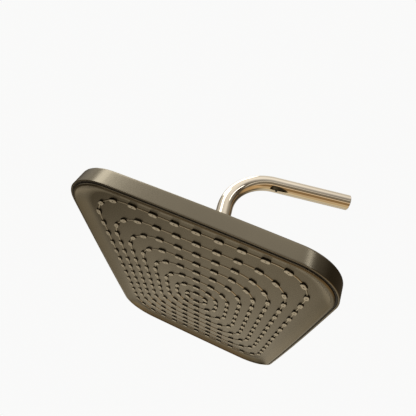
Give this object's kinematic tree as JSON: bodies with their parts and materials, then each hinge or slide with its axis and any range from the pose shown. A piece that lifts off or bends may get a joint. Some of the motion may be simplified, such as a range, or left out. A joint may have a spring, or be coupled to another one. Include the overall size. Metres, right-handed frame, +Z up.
{
  "type": "rain shower head with swan neck arm",
  "caption": "Flat rounded-rectangle rain shower head with soft nozzles in concentric rings, hung by a ball joint from a swan-neck tube arm.",
  "frame": {"origin": "centre of the arm's wall-side end, on the axis of its inlet socket", "axes": "+X out of the arm's wall-side end, towards the supply; +Z up; the head hangs at -X and -Z"},
  "size_m": [0.2685, 0.3046, 0.2081],
  "materials": {
    "polished_tube": "polished champagne plating on brass",
    "turned_brass": "turned brass, unplated",
    "black_rubber": "moulded EPDM rubber",
    "black_steel": "blackened steel",
    "steel_mesh": "perforated stainless steel",
    "white_plastic": "moulded acetal",
    "grey_plastic": "moulded ABS",
    "steel_screw": "stainless steel screws",
    "satin_bronze": "satin bronze plating, lightly brushed",
    "face_bronze": "satin bronze plating",
    "nozzle_silicone": "bronze-tinted soft silicone"
  },
  "bodies": {
    "arm": {"arm_tube": "polished_tube", "inlet_insert": "turned_brass", "inlet_o_ring_1": "black_rubber", "inlet_o_ring_2": "black_rubber", "arm_grub_screw": "black_steel", "arm_nipple": "turned_brass", "stem_washer": "black_rubber", "strainer": "steel_mesh", "flow_regulator": "white_plastic", "ball_stem": "polished_tube"},
    "swivel_liner": {"ball_liner": "white_plastic"},
    "tilt_carrier": {"seal_carrier": "grey_plastic"},
    "head": {"ball_cup": "turned_brass", "cap_nut": "polished_tube", "boss_o_ring": "black_rubber", "boss_screws": "steel_screw", "back_collar": "satin_bronze", "head_shell": "satin_bronze", "edge_seal": "black_rubber", "chamber_cover": "grey_plastic", "chamber_gasket": "black_rubber", "spreader_plate": "grey_plastic", "plate_screws": "steel_screw", "nozzle_mat": "nozzle_silicone", "face_plate": "face_bronze"}
  },
  "joints": [
    {"name": "swivel", "type": "hinge", "parent": "arm", "child": "swivel_liner", "pos_m": [-0.152, 0, -0.146], "axis": [0, 0, 1], "continuous": true},
    {"name": "tilt_fore", "type": "hinge", "parent": "swivel_liner", "child": "tilt_carrier", "pos_m": [-0.152, 0, -0.146], "axis": [0.0621, 0.9981, 0], "range_deg": [-26.2, 3.8]},
    {"name": "tilt_side", "type": "hinge", "parent": "tilt_carrier", "child": "head", "pos_m": [-0.152, 0, -0.146], "axis": [0.9791, -0.0609, -0.1942], "range_deg": [-15, 15]}
  ]
}
